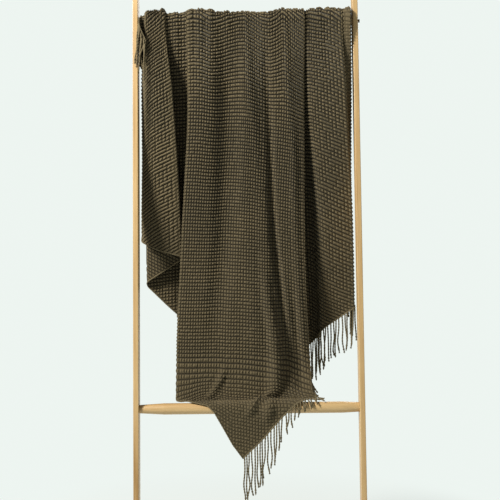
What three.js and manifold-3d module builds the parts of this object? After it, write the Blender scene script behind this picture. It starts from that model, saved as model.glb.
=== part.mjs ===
// A knit throw with tassel fringes, hung cornerwise over the top rung of a slim leaning ladder.
// Millimetres, +Z up. The ladder leans away from the front, which looks along +Y.
import * as THREE from 'three';
import { mergeVertices } from 'three/addons/utils/BufferGeometryUtils.js';
import Module from 'manifold-3d';

const wasm = await Module();
wasm.setup();

// Ladder: driving sizes
const LEAN = THREE.MathUtils.degToRad(11.5);
const BAY_WIDTH = 530;
const RAIL = { thick: 13, deep: 38, height: 1700, head: 60, edge: 1.5 };
const RUNG_RADIUS = 13.5;
const RUNG_LOW_HEIGHT = 500;
const RUNG_SPACING = 950;
const RUNG_TAPERS = { left: { length: 60, radius: 10 }, right: { length: 40, radius: 11.5 } };
const TENON = { radius: 8, length: 8.7 };
const MORTISE_DEPTH = 9;
const SCREW = { head: 4.6, shank: 2, proud: 5.5, reach: 20 };
const GAP = 0.3;

// Throw: driving sizes. Hung on the bias, the knit narrows across and lengthens down.
const SELVEDGE = 1520;
const END = 1270;
const BIAS_ACROSS = 0.92;
const BIAS_DOWN = 1.075;
const TIP_DROP = 1105;
const THICKNESS = 1.5;

// Fringe: a spine along the edge and teeth that stand for the tassels
const FRINGE = { seam: 1.6, steepest: 8, slack: 3, spine: 10, length: 118, pitch: 34, tooth: 16, thick: 1.5 };

// The teeth's pitch along the edge, measured across the strands
const TOOTH_PITCH = FRINGE.pitch * BIAS_ACROSS / Math.SQRT2;

const COLORS = { throw: 0x5c513d, fringe: 0x63573f, wood: 0xe0bb85, screw: 0x2b2623 };

// Places worked out from the sizes above
const railY = (z) => z * Math.tan(LEAN);
const RUNG_TOP_HEIGHT = RUNG_LOW_HEIGHT + RUNG_SPACING * Math.cos(LEAN);
const TOP = { y: railY(RUNG_TOP_HEIGHT), z: RUNG_TOP_HEIGHT };
const LOW = { y: railY(RUNG_LOW_HEIGHT) - TOP.y, z: RUNG_LOW_HEIGHT - TOP.z };

// A strand of the throw is named by u, its place across, with 0 at the front tip.
// A point on a strand is named by v, its distance down the front from the top of the top rung.
// QUARTER is the v where the strand leaves the rung; from there v grows straight down.
const QUARTER = 34;
const LEVELS_X = [QUARTER, 200, 560, 900, 977];
const LEVELS_N = [QUARTER, 200, 560, 840];

// The folds, from the left free corner to the right one. x is a fold's place across at five levels.
// n is its distance in front of the top rung at four, and m its distance off the lower rung.
// turn joins a row to the next one in a tight U-turn.
const FOLD_COLUMNS = ['name', 'turn', 'u',
  'xTop', 'xHigh', 'xMid', 'xLow', 'xTip', 'nTop', 'nHigh', 'nMid', 'nLow', 'm'];
const FOLDS = [
  ['corner_c', 0, -989, -243, -246, -246, -246, -246, 26, 54, 54, 54, 3],
  ['wrap_front', 1, -955, -261, -261, -261, -261, -261, 24, 49, 49, 49, 3],
  ['wrap_back', 0, -935, -261, -261, -261, -261, -261, 3, 4, 4, 4, 3],
  ['rear_middle', 0, -880, -190, -190, -190, -190, -190, 3, 4, 4, 4, 3],
  ['rear_end', 1, -797, -52, -60, -70, -70, -70, 3, 4, 4, 4, 3],
  ['second_start', 0, -781, -52, -60, -70, -70, -70, 5.8, 9.5, 8.5, 8.5, 3],
  ['second_middle', 0, -690, -150, -150, -160, -160, -160, 5.8, 9.5, 8.5, 8.5, 3],
  ['flap_back', 1, -603, -251, -251, -262, -262, -262, 5.8, 9.5, 8, 8, 3],
  ['flap_left', 0, -583, -245, -247, -265, -265, -265, 16, 44, 48, 48, 3],
  ['flap_ridge', 0, -545, -222, -228, -232, -232, -232, 17, 54, 56, 56, 3],
  ['flap_right', 1, -499, -197, -180, -164, -160, -160, 15, 52, 50, 50, 3],
  ['flap_turn', 0, -485, -197, -180, -164, -160, -160, 11.4, 40, 36, 36, 3],
  ['smooth_left', 1, -396, -231, -236, -254, -256, -256, 11.4, 30, 30, 30, 3],
  ['smooth_turn', 0, -380, -231, -236, -254, -256, -256, 8.6, 17, 15, 15, 3],
  ['dark_middle', 0, -310, -170, -170, -180, -185, -185, 8.6, 15, 14, 16, 3],
  ['dark_right', 1, -252, -108, -110, -104, -104, -104, 8.6, 15, 14, 24, 3],
  ['hidden_right', 0, -238, -108, -110, -104, -108, -108, 11.2, 24, 30, 52, 3],
  ['main_turn', 1, -183, -146, -143, -160, -176, -168, 11.2, 44, 62, 98, 3],
  ['main_left', 0, -168, -146, -143, -164, -180, -172, 14.6, 50, 72, 112, 3],
  ['ridge_1', 0, -130, -104, -106, -130, -146, -136, 17, 58, 78, 118, 3],
  ['valley_1', 0, -72, -56, -58, -82, -94, -86, 9, 38, 72, 116, 3],
  ['ridge_2', 0, -4, 0, -2, -22, -30, -20, 11, 52, 78, 124, 3],
  ['edge_2', 0, 30, 19, 18, 9, 6, 12, 10, 48, 79, 127, 4],
  ['valley_2', 0, 60, 46, 46, 35, 32, 42, 8, 36, 74, 124, 3],
  ['ridge_3', 0, 116, 97, 98, 82, 88, 102, 17, 56, 80, 124, 7],
  ['main_right', 1, 184, 146, 143, 142, 154, 186, 16, 36, 74, 112, 5],
  ['fold_turn', 0, 200, 146, 143, 140, 154, 186, 12.6, 30, 61, 98, 3],
  ['fold_left', 1, 254, 105, 108, 108, 122, 122, 12, 23, 18, 40, 3],
  ['fold_back', 0, 266, 105, 110, 112, 130, 130, 8.6, 16, 9, 24, 3],
  ['fold_right', 0, 314, 151, 150, 168, 176, 176, 8.6, 17, 9, 18, 3],
  ['panel_left', 0, 342, 155, 154, 174, 180, 180, 17, 46, 52, 52, 3],
  ['panel_middle', 0, 388, 196, 202, 221, 228, 228, 16, 48, 54, 52, 3],
  ['panel_right', 1, 424, 238, 246, 264, 270, 270, 18, 50, 55, 54, 3],
  ['bundle_tuck', 0, 434, 236, 243, 259, 264, 264, 13, 34, 36, 36, 3],
  ['bundle_edge', 1, 458, 259, 258, 259, 264, 264, 23, 22, 18, 18, 3],
  ['panel_turn', 0, 470, 259, 258, 259, 264, 264, 5.8, 11, 2, 2, 3],
  ['right_middle', 0, 530, 160, 160, 170, 170, 170, 5.8, 11, 1, 1, 3],
  ['right_left', 1, 620, 77, 72, 72, 72, 72, 5.8, 11, 1, 1, 3],
  ['last_left', 0, 636, 77, 72, 72, 72, 72, 3, 3, -7, -7, 3],
  ['last_middle', 0, 730, 155, 155, 155, 155, 155, 3, 3, -7, -7, 3],
  ['corner_b', 0, 826, 240, 240, 240, 240, 240, 3, 3, -7, -7, 3],
];
const TURN_LEG = 7;

// Creases that wander across the strands: at each v the strand they are on, their half width and height
const CREASE_COLUMNS = ['v', 'u', 'width', 'height'];
const CREASES = [
  [[20, -70, 30, 0], [60, -60, 46, -5], [120, -57, 50, -11], [200, -56, 52, -14],
    [380, -47, 54, -16], [560, -43, 52, -16], [700, -54, 46, -12], [860, -66, 40, 0]],
  [[-20, -4, 28, 0], [30, -4, 28, 3], [120, 2, 32, 5], [200, 6, 34, 5],
    [380, 12, 36, 6], [560, 28, 40, 6], [760, 44, 44, 5], [880, 56, 44, 0]],
  [[200, 24, 26, 0], [380, 44, 28, 6], [560, 62, 28, 9], [840, 100, 26, 11],
    [915, 108, 24, 0]],
  [[60, 68, 18, 0], [120, 66, 18, -5], [200, 66, 18, -8], [380, 79, 18, -14],
    [560, 94, 20, -20], [840, 128, 18, -18], [925, 132, 18, 0]],
  [[-30, 106, 18, 0], [0, 107, 20, 4], [60, 115, 22, 5], [200, 119, 22, 4],
    [380, 131, 20, 0]],
  [[250, 138, 16, 0], [380, 146, 18, 6], [560, 156, 16, 6], [840, 166, 14, 6],
    [925, 168, 14, 0]],
];

// How far each strand has slipped down the front: at the rung, high up, low down, at the tip and behind
const SLIP_COLUMNS = ['u', 'top', 'high', 'low', 'tip', 'back'];
const SLIPS = [
  [-989, 132, 132, 132, 132, 132],
  [-588, 126, 138, 160, 160, 160],
  [-490, 83, 83, 83, 83, 120],
  [-387, 32, 32, 30, 30, 95],
  [-245, 18, 20, 10, 10, 95],
  [-168, 12, 12, 8, 23, 95],
  [-150, 10, 12, 8, 12, 95],
  [-130, 14, 13, 8, 2, 95],
  [-108, 23, 16, 8, -18, 90],
  [-90, 20, 17, 8, -35, 85],
  [-72, 16, 17, 8, -41, 80],
  [-50, 10, 16, 8, -29, 70],
  [-25, 5, 16, 9, -13, 58],
  [-4, 5, 17, 9, -9, 52],
  [15, 13, 19, 10, -5, 50],
  [30, 18, 21, 11, -1, 47],
  [54, 31, 27, 13, 3, 45],
  [75, 36, 31, 15, 1, 45],
  [95, 29, 34, 17, 0, 45],
  [110, 20, 36, 20, 1, 45],
  [122, 25, 38, 22, 5, 45],
  [140, 37, 41, 27, 16, 50],
  [160, 47, 47, 32, 28, 55],
  [184, 57, 52, 38, 40, 60],
  [342, 63, 58, 98, 98, 90],
  [360, 66, 64, 105, 105, 97],
  [388, 71, 76, 118, 117, 110],
  [405, 78, 84, 125, 124, 118],
  [429, 92, 96, 135, 133, 125],
  [826, 165, 165, 165, 165, 165],
];

// The strands that go over the lower rung, and where they land on it
const OVER = { from: -236, full: -196, leave: 186, gone: 214 };
const LANDING = { v: 941, front: 977, angle: THREE.MathUtils.degToRad(-30) };
const LEVEL_LOW = 840;

// Behind the rung the folds open out over this length, and what hangs left of a line is drawn in to it
const BACK = { length: 450, left: -165, draw: 0.7, apart: 1 };

// The cloth's middle stands this far off the rungs, besides n or m
const SEAT = 1.2;

// Rows of the mesh along a strand
const ROWS_V = [-800, -560, -380, -220, -100, -QUARTER, -23, -11.5, 0, 11.5, 23, QUARTER,
  90, 200, 360, 540, 700, LEVEL_LOW, 890, LANDING.v, 950, 959, 968, LANDING.front, 1040];

// Strands where an edge of the cloth crosses a rung, which takes closer columns
const CROSSINGS = [
  { from: -952, to: -872, steps: 10 },
  { from: -140, to: -84, steps: 6 },
  { from: 112, to: 208, steps: 12 },
  { from: 556, to: 640, steps: 9 },
];
const CLOSEST = 5;
// Fold rows that get a column of their own: the corners of the turns, and the front's ridges and valleys
const KEPT_ROWS = ['rear_end', 'second_start', 'flap_back', 'flap_left', 'flap_right', 'flap_turn',
  'smooth_left', 'smooth_turn', 'dark_right', 'hidden_right', 'main_turn', 'main_left', 'ridge_2',
  'edge_2', 'valley_2', 'ridge_3', 'main_right', 'fold_turn', 'fold_left', 'fold_back', 'panel_left',
  'panel_right', 'bundle_tuck', 'bundle_edge', 'panel_turn', 'right_left', 'last_left'];

const asRecords = (columns, rows) =>
  rows.map((row) => Object.fromEntries(columns.map((name, i) => [name, row[i]])));
const smooth = (t) => THREE.MathUtils.smoothstep(t, 0, 1);
const mix = THREE.MathUtils.lerp;

// The values of a table between two of its rows, found by the column that it is sorted by
function rowAt(rows, key, at) {
  const k = THREE.MathUtils.clamp(rows.findLastIndex((row) => row[key] <= at), 0, rows.length - 2);
  const [a, b] = [rows[k], rows[k + 1]];
  const share = THREE.MathUtils.clamp((at - a[key]) / (b[key] - a[key]), 0, 1);
  return Object.fromEntries(Object.keys(a).map((name) => [name, mix(a[name], b[name], share)]));
}

// The fold table with a helper row beside each tight turn, so that its legs stay parallel
function controlRows() {
  const rows = asRecords(FOLD_COLUMNS, FOLDS);
  const between = (a, b) => {
    const share = Math.min(TURN_LEG / Math.max(Math.abs(a.xTop - b.xTop), 1), 0.45);
    const keys = FOLD_COLUMNS.slice(2);
    return Object.fromEntries(keys.map((key) => [key, mix(a[key], b[key], share)]));
  };
  return rows.flatMap((row, i) => {
    const before = row.turn && i > 0 ? [between(row, rows[i - 1])] : [];
    const endsTurn = i > 0 && rows[i - 1].turn && i < rows.length - 1;
    const after = endsTurn ? [between(row, rows[i + 1])] : [];
    return [...before, row, ...after];
  });
}
const CONTROLS = controlRows();
const LAST = CONTROLS.length - 1;
const column = (key) => CONTROLS.map((row) => row[key]);
const U = column('u');
const M = column('m');
const X = ['xTop', 'xHigh', 'xMid', 'xLow', 'xTip'].map(column);
const N = ['nTop', 'nHigh', 'nMid', 'nLow'].map(column);

// A cubic through the levels, flat at its ends and without overshoot
function atLevel(levels, tables, v, i) {
  const at = THREE.MathUtils.clamp(v, levels[0], levels.at(-1));
  let k = levels.findLastIndex((level) => level <= at);
  k = Math.min(k, levels.length - 2);
  const span = levels[k + 1] - levels[k];
  const slope = (j) => (tables[j + 1][i] - tables[j][i]) / (levels[j + 1] - levels[j]);
  const tangent = (j) => {
    if (j === 0 || j === levels.length - 1) return 0;
    const product = slope(j - 1) * slope(j);
    return product > 0 ? 2 * product / (slope(j - 1) + slope(j)) : 0;
  };
  return hermite((at - levels[k]) / span,
    tables[k][i], span * tangent(k), tables[k + 1][i], span * tangent(k + 1));
}

function hermite(t, p0, d0, p1, d1) {
  const t2 = t * t;
  const t3 = t2 * t;
  return (2 * t3 - 3 * t2 + 1) * p0 + (t3 - 2 * t2 + t) * d0 + (3 * t2 - 2 * t3) * p1 + (t3 - t2) * d1;
}

// A quadratic B-spline along the fold rows: s runs from 0 to LAST
function alongFolds(value, s) {
  const k = THREE.MathUtils.clamp(Math.floor(s + 0.5), 1, LAST - 1);
  const start = k === 1 ? 0 : k - 0.5;
  const end = k === LAST - 1 ? LAST : k + 0.5;
  const t = (s - start) / (end - start);
  const a = k === 1 ? value(0) : (value(k - 1) + value(k)) / 2;
  const b = k === LAST - 1 ? value(LAST) : (value(k) + value(k + 1)) / 2;
  return (1 - t) ** 2 * a + 2 * t * (1 - t) * value(k) + t * t * b;
}

const strandOf = (s) => alongFolds((k) => U[k], s);

// The place along the folds that a strand has, by halving
function foldPlaceOf(u) {
  let low = 0;
  let high = LAST;
  for (let i = 0; i < 40; i++) {
    const middle = (low + high) / 2;
    if (strandOf(middle) < u) low = middle;
    else high = middle;
  }
  return low;
}

const overLowerRung = (u) =>
  smooth((OVER.gone - u) / (OVER.gone - OVER.leave)) * smooth((u - OVER.from) / (OVER.full - OVER.from));

// The way of a strand that goes over the lower rung, below the last level
function pathOverLowerRung(v, y, m) {
  const radius = RUNG_RADIUS + SEAT + m;
  const land = LANDING.angle;
  if (v < LANDING.v) {
    const t = (v - LEVEL_LOW) / (LANDING.v - LEVEL_LOW);
    const landY = LOW.y - radius * Math.sin(land);
    const landZ = LOW.z + radius * Math.cos(land);
    return {
      y: hermite(t, y, -12, landY, -60 * Math.cos(land)),
      z: hermite(t, QUARTER - LEVEL_LOW, LEVEL_LOW - LANDING.v, landZ, -60 * Math.sin(land)),
    };
  }
  const share = Math.min((v - LANDING.v) / (LANDING.front - LANDING.v), 1);
  const angle = mix(land, Math.PI / 2, share);
  return {
    y: LOW.y - radius * Math.sin(angle),
    z: LOW.z + radius * Math.cos(angle) - Math.max(v - LANDING.front, 0),
  };
}

// How far the creases lift the strand u at v off the folds
const CREASE_ROWS = CREASES.map((rows) => asRecords(CREASE_COLUMNS, rows));
function creases(u, v) {
  return CREASE_ROWS.reduce((sum, rows) => {
    const at = rowAt(rows, 'v', v);
    return sum + at.height * smooth(1 - Math.abs(u - at.u) / at.width);
  }, 0);
}

// The drape: where the point v on the strand at fold place s hangs
function drape(s, v) {
  const u = strandOf(s);
  const open = smooth((-v - QUARTER) / BACK.length);
  const drawn = (x) => x + BACK.draw * open * Math.max(BACK.left - x, 0);
  const xOf = (k) => (v >= 0 ? atLevel(LEVELS_X, X, v, k) : drawn(X[0][k]));
  const nOf = (k) => (v >= 0 ? atLevel(LEVELS_N, N, v, k) : N[0][k] * (1 + BACK.apart * open));
  const radius = RUNG_RADIUS + SEAT + alongFolds(nOf, s) + creases(u, v);
  const angle = THREE.MathUtils.clamp(v / QUARTER, -1, 1) * Math.PI / 2;
  let y = -radius * Math.sin(angle);
  let z = radius * Math.cos(angle) - Math.max(Math.abs(v) - QUARTER, 0);
  const over = v > LEVEL_LOW ? overLowerRung(u) : 0;
  if (over > 0) {
    const path = pathOverLowerRung(v, y, alongFolds((k) => M[k], s));
    y = mix(y, path.y, over);
    z = mix(z, path.z, over);
  }
  return new THREE.Vector3(alongFolds(xOf, s), y + TOP.y, z + TOP.z);
}

// How far down the strand u has slipped at v
const SLIP_ROWS = asRecords(SLIP_COLUMNS, SLIPS);
function slip(u, v) {
  const { top, high, low, tip, back } = rowAt(SLIP_ROWS, 'u', u);
  if (v < -QUARTER) return mix(top, back, smooth((-v - QUARTER) / BACK.length));
  const under = mix(top, high, smooth((v - 60) / 240));
  const down = mix(under, low, smooth((v - 300) / 450));
  return mix(down, tip, smooth((v - 870) / 90));
}

// The edges of the cloth, as a v for each strand
const STEEP = BIAS_DOWN / BIAS_ACROSS;
function slipped(u, flat) {
  let v = flat;
  for (let i = 0; i < 8; i++) v = flat + slip(u, v);
  return v;
}
const cornerDrop = (side) => TIP_DROP - BIAS_DOWN * Math.SQRT2 * side;
const frontEdge = (u) => slipped(u, TIP_DROP - STEEP * Math.abs(u));
const backEdge = (u) => slipped(u, Math.max(cornerDrop(SELVEDGE) - STEEP * u, cornerDrop(END) + STEEP * u));
const CORNER_D = (END - SELVEDGE) * BIAS_ACROSS / Math.SQRT2;

// The fold places of the mesh's columns: where the spline touches its sides, the corners of the
// turns, and more of them where an edge of the cloth crosses a rung
function columnPlaces() {
  const strands = [0, CORNER_D, ...CROSSINGS.flatMap(({ from, to, steps }) =>
    Array.from({ length: steps + 1 }, (_, i) => mix(from, to, i / steps)))];
  const places = [0, LAST, ...strands.map(foldPlaceOf)];
  const crowded = (s) => strands.some((u) => Math.abs(strandOf(s) - u) < CLOSEST);
  for (let k = 1; k < LAST; k++) {
    const own = KEPT_ROWS.includes(CONTROLS[k].name) ? [k] : [];
    const side = k > 1 ? [k - 0.5] : [];
    places.push(...[...own, ...side].filter((s) => !crowded(s)));
  }
  return places.sort((a, b) => a - b);
}
const PLACES = columnPlaces();

// A chain is a line of points down a strand, with the v of each
function chain(from, to, pointAt) {
  const inside = ROWS_V.filter((v) => v > from + 6 && v < to - 6);
  const vs = to - from < 1 ? [from] : [from, ...inside, to];
  return vs.map((v) => ({ v, point: pointAt(v) }));
}

// A sheet grows from strips between neighbouring chains, and is then given its thickness
class Sheet {
  constructor() {
    this.points = [];
    this.faces = [];
  }

  add(links) {
    return links.map(({ v, point }) => ({ v, id: this.points.push(point) - 1 }));
  }

  strip(left, right) {
    let i = 0;
    let j = 0;
    while (i < left.length - 1 || j < right.length - 1) {
      const stepLeft = j === right.length - 1 ||
        (i < left.length - 1 && left[i + 1].v <= right[j + 1].v);
      if (stepLeft) {
        this.faces.push([left[i].id, left[i + 1].id, right[j].id]);
        i += 1;
      } else {
        this.faces.push([left[i].id, right[j + 1].id, right[j].id]);
        j += 1;
      }
    }
  }

  normals() {
    const sums = this.points.map(() => new THREE.Vector3());
    for (const [a, b, c] of this.faces) {
      const side = this.points[b].clone().sub(this.points[a]);
      const normal = side.cross(this.points[c].clone().sub(this.points[a]));
      for (const id of [a, b, c]) sums[id].add(normal);
    }
    return sums.map((sum) => sum.normalize());
  }

  // Both faces, and a strip along every free edge
  solid(thickness) {
    const count = this.points.length;
    const normals = this.normals();
    const positions = [0.5, -0.5].flatMap((side) => this.points.flatMap((point, i) =>
      point.clone().addScaledVector(normals[i], side * thickness).toArray()));
    const index = this.faces.flatMap(([a, b, c]) => [a, b, c, a + count, c + count, b + count]);
    const directed = new Set(this.faces.flatMap(([a, b, c]) => [`${a}_${b}`, `${b}_${c}`, `${c}_${a}`]));
    for (const edge of directed) {
      const [a, b] = edge.split('_').map(Number);
      if (!directed.has(`${b}_${a}`)) index.push(a, a + count, b + count, a, b + count, b);
    }
    const geometry = new THREE.BufferGeometry();
    geometry.setAttribute('position', new THREE.Float32BufferAttribute(positions, 3));
    geometry.setIndex(index);
    return geometry;
  }
}

// The knit panel: one sheet over every fold
function throwGeometry() {
  const sheet = new Sheet();
  const chains = PLACES.map((s) => {
    const u = strandOf(s);
    return sheet.add(chain(backEdge(u), Math.max(frontEdge(u), backEdge(u)), (v) => drape(s, v)));
  });
  for (let i = 1; i < chains.length; i++) sheet.strip(chains[i - 1], chains[i]);
  return sheet.solid(THICKNESS);
}

// The seam is measured square to the edge, so it is longer down a strand where the edge is steep
function seamWidth(places, edgeAt, i) {
  const a = drape(places[i], edgeAt[i]);
  const b = drape(places[i + 1], edgeAt[i + 1]);
  const level = Math.hypot(a.x - b.x, a.y - b.y);
  return FRINGE.seam * Math.min(a.distanceTo(b) / level, FRINGE.steepest);
}

// A fringe: a spine just past the cloth's edge, and teeth that go on down the strands.
// way is 1 down the front and -1 down the back; bare tells the strands that have no tooth.
function fringeGeometry(places, edge, way, bare) {
  const sheet = new Sheet();
  const edgeAt = places.map((s) => edge(strandOf(s)));
  const seamAt = places.map((s, i) => seamWidth(places, edgeAt, Math.min(i, places.length - 2)) +
    (bare(strandOf(s)) ? FRINGE.slack : 0));
  const chainAt = (i, share, from, to) => {
    const start = mix(edgeAt[i], edgeAt[i + 1], share) + way * mix(seamAt[i], seamAt[i + 1], share);
    const ends = [start + way * from, start + way * to].sort((a, b) => a - b);
    return sheet.add(chain(ends[0], ends[1],
      (v) => drape(places[i], v).lerp(drape(places[i + 1], v), share)));
  };
  let previous = null;
  for (let i = 0; i < places.length - 1; i++) {
    const width = strandOf(places[i + 1]) - strandOf(places[i]);
    const teeth = bare(strandOf(places[i])) ? 0 : Math.round(width / TOOTH_PITCH);
    const half = teeth ? FRINGE.tooth / FRINGE.pitch / teeth / 2 : 0;
    const shares = [];
    for (let k = 0; k < teeth; k++) {
      const middle = (k + 0.5) / teeth;
      shares.push(middle - half, middle + half);
    }
    shares.push(1);
    previous = previous ?? chainAt(i, 0, 0, FRINGE.spine);
    shares.forEach((share, k) => {
      const next = chainAt(i, share, 0, FRINGE.spine);
      sheet.strip(previous, next);
      if (k % 2 === 1) addTooth(sheet, previous, next, way, [shares[k - 1], share], chainAt, i);
      previous = next;
    });
  }
  return sheet.solid(FRINGE.thick);
}

// One tooth, hung on the spine's last two points
function addTooth(sheet, left, right, way, shares, chainAt, i) {
  const free = shares.map((share) => chainAt(i, share, FRINGE.spine, FRINGE.length));
  [left, right].forEach((spine, k) => {
    const root = way > 0 ? spine.at(-1) : spine[0];
    const own = way > 0 ? 0 : free[k].length - 1;
    free[k][own] = root;
  });
  sheet.strip(free[0], free[1]);
}

// Solids for cutting, from closed geometry
function toSolid(geometry) {
  const bare = geometry.clone();
  bare.deleteAttribute('normal');
  bare.deleteAttribute('uv');
  const merged = mergeVertices(bare, 1e-4);
  return new wasm.Manifold(new wasm.Mesh({
    numProp: 3,
    vertProperties: new Float32Array(merged.attributes.position.array),
    triVerts: new Uint32Array(merged.index.array),
  }));
}

function toGeometry(solid) {
  const mesh = solid.getMesh();
  const geometry = new THREE.BufferGeometry();
  geometry.setAttribute('position', new THREE.Float32BufferAttribute(mesh.vertProperties, 3));
  geometry.setIndex(Array.from(mesh.triVerts));
  return geometry;
}

// A round piece turned about an axis along +X: profile is a list of [x, radius]
function turned(profile, segments) {
  const points = profile.map(([x, radius]) => new THREE.Vector2(radius, x));
  return new THREE.LatheGeometry(points, segments).rotateZ(-Math.PI / 2);
}

function cylinderX(from, to, radius, y, z) {
  return turned([[from, 0], [from, radius], [to, radius], [to, 0]], 32).translate(0, y, z);
}

// A rail: a batten with eased edges, its foot cut level and its head cut plumb
function railGeometry(side) {
  const half = RAIL.deep / 2 / Math.cos(LEAN);
  const headFrom = RAIL.height - RAIL.head;
  const headY = railY(headFrom) + half;
  const outline = new THREE.Shape();
  outline.moveTo(-half, 0);
  outline.lineTo(half, 0);
  outline.lineTo(headY, headFrom);
  outline.lineTo(headY, RAIL.height);
  outline.lineTo(railY(RAIL.height) - half, RAIL.height);
  outline.closePath();
  const geometry = new THREE.ExtrudeGeometry(outline, {
    depth: RAIL.thick - 2 * RAIL.edge,
    bevelEnabled: true,
    bevelThickness: RAIL.edge,
    bevelSize: RAIL.edge,
    bevelOffset: -RAIL.edge,
    bevelSegments: 2,
  });
  geometry.translate(0, 0, RAIL.edge);
  geometry.applyMatrix4(new THREE.Matrix4().makeBasis(
    new THREE.Vector3(0, 1, 0), new THREE.Vector3(0, 0, 1), new THREE.Vector3(1, 0, 0)));
  const inner = BAY_WIDTH / 2;
  geometry.translate(side < 0 ? -inner - RAIL.thick : inner, 0, 0);
  let solid = toSolid(geometry);
  for (const height of [RUNG_LOW_HEIGHT, RUNG_TOP_HEIGHT]) {
    const ends = [inner - 1, inner + MORTISE_DEPTH].map((x) => side * x).sort((a, b) => a - b);
    const mortise = cylinderX(ends[0], ends[1], TENON.radius + GAP, railY(height), height);
    solid = solid.subtract(toSolid(mortise));
  }
  if (side > 0) {
    const hole = cylinderX(inner, inner + RAIL.thick + 1, SCREW.shank + GAP, TOP.y, TOP.z);
    solid = solid.subtract(toSolid(hole));
  }
  return toGeometry(solid);
}

// A rung: a dowel that tapers towards its ends, with a tenon into each rail
function rungGeometry(height, drilled) {
  const end = BAY_WIDTH / 2 - GAP;
  const { left, right } = RUNG_TAPERS;
  const profile = [
    [-end - TENON.length, 0],
    [-end - TENON.length, TENON.radius],
    [-end, TENON.radius],
    [-end, left.radius],
    [-end + left.length, RUNG_RADIUS],
    [end - right.length, RUNG_RADIUS],
    [end, right.radius],
    [end, TENON.radius],
    [end + TENON.length, TENON.radius],
    [end + TENON.length, 0],
  ];
  const dowel = turned(profile, 40).translate(0, railY(height), height);
  if (!drilled) return dowel;
  const from = end - SCREW.reach - GAP;
  const hole = cylinderX(from, end + TENON.length + 1, SCREW.shank + GAP, railY(height), height);
  return toGeometry(toSolid(dowel).subtract(toSolid(hole)));
}

// The screw: its countersunk head stands proud of the right rail
function screwGeometry() {
  const face = BAY_WIDTH / 2 + RAIL.thick;
  const seat = face + GAP;
  const end = face + SCREW.proud;
  const from = BAY_WIDTH / 2 - GAP - SCREW.reach;
  const profile = [
    [from, 0],
    [from + 3, SCREW.shank],
    [seat, SCREW.shank],
    [seat, SCREW.shank + GAP * 2],
    [end - 1, SCREW.head],
    [end, SCREW.head],
    [end, 0],
  ];
  return turned(profile, 24).translate(0, TOP.y, TOP.z);
}

const group = new THREE.Group();

function piece(name, geometry, color, roughness, metalness = 0) {
  const material = new THREE.MeshStandardMaterial({ color, roughness, metalness });
  const mesh = new THREE.Mesh(geometry, material);
  mesh.name = name;
  group.add(mesh);
}

// Where the main fold turns behind the lower rung, teeth would run into it
const besideRung = (u) => u > OVER.leave - 12 && u < OVER.gone;
const frontPlaces = PLACES.filter((s) => s >= foldPlaceOf(0) - 1e-6);
const backPlaces = PLACES.filter((s) => s <= foldPlaceOf(CORNER_D) + 1e-6);

piece('throw', throwGeometry(), COLORS.throw, 0.95);
piece('fringe_front', fringeGeometry(frontPlaces, frontEdge, 1, besideRung), COLORS.fringe, 0.95);
piece('fringe_back', fringeGeometry(backPlaces, backEdge, -1, () => false), COLORS.fringe, 0.95);
piece('rail_left', railGeometry(-1), COLORS.wood, 0.55);
piece('rail_right', railGeometry(1), COLORS.wood, 0.55);
piece('rung_low', rungGeometry(RUNG_LOW_HEIGHT, false), COLORS.wood, 0.55);
piece('rung_top', rungGeometry(RUNG_TOP_HEIGHT, true), COLORS.wood, 0.55);
piece('screw', screwGeometry(), COLORS.screw, 0.4, 0.9);

// The origin is on the floor, under the middle of the whole
const bounds = new THREE.Box3().setFromObject(group);
const middle = bounds.getCenter(new THREE.Vector3());
group.position.set(-middle.x, -middle.y, -bounds.min.z);

export default group;
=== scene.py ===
# A knit throw with tassel fringes, hung cornerwise over a slim leaning ladder.
# The drape and its tables follow the CAD source, in millimetres from the top rung's middle. Only here
# are the crinkles and what they add above the lower rung, and flap_back, bundle_edge and panel_turn
# hang a little nearer the rails.
from math import radians

import bpy
import numpy as np
from mathutils import Matrix, Vector


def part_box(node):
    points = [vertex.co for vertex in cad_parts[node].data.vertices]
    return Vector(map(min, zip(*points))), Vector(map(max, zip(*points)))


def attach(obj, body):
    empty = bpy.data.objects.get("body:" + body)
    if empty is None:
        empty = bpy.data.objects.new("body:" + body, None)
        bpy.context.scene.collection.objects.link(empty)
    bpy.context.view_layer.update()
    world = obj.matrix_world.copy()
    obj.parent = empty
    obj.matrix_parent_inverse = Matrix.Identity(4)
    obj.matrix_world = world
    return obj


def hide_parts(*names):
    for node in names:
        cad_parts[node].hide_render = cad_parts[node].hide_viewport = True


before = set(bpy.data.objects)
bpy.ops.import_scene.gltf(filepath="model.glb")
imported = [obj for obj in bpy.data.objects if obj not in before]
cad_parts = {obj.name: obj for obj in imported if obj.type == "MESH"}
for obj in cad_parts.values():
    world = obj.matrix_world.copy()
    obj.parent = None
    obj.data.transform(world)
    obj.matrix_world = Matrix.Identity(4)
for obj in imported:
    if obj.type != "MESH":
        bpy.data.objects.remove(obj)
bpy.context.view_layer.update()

RNG = np.random.default_rng(7)

# Ladder sizes that the cloth needs
LEAN = radians(11.5)
RUNG_RADIUS = 13.5
RUNG_SPACING = 950
LOW_Y = -RUNG_SPACING * np.sin(LEAN)
LOW_Z = -RUNG_SPACING * np.cos(LEAN)

# Throw sizes: hung on the bias, the knit narrows across and lengthens down
SELVEDGE = 1520
END = 1270
BIAS_ACROSS = 0.92
BIAS_DOWN = 1.075
TIP_DROP = 1105
STITCH = 8.0
BUMP_HEIGHT = 1.5
ROW_SHARES = 0.15, 0.5
# How much of the painted shade in the gaps between stitch columns shows: elsewhere, and where the rows
# show more
COLUMN_GAP_SHADES = 0.85, 0.5

# A strand is named by u, its place across, with 0 at the front tip, and a point on it by v, its
# distance down the front from the top of the top rung
QUARTER = 34
LEVELS_X = np.array([QUARTER, 200, 560, 900, 977], float)
LEVELS_N = np.array([QUARTER, 200, 560, 840], float)

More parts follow.
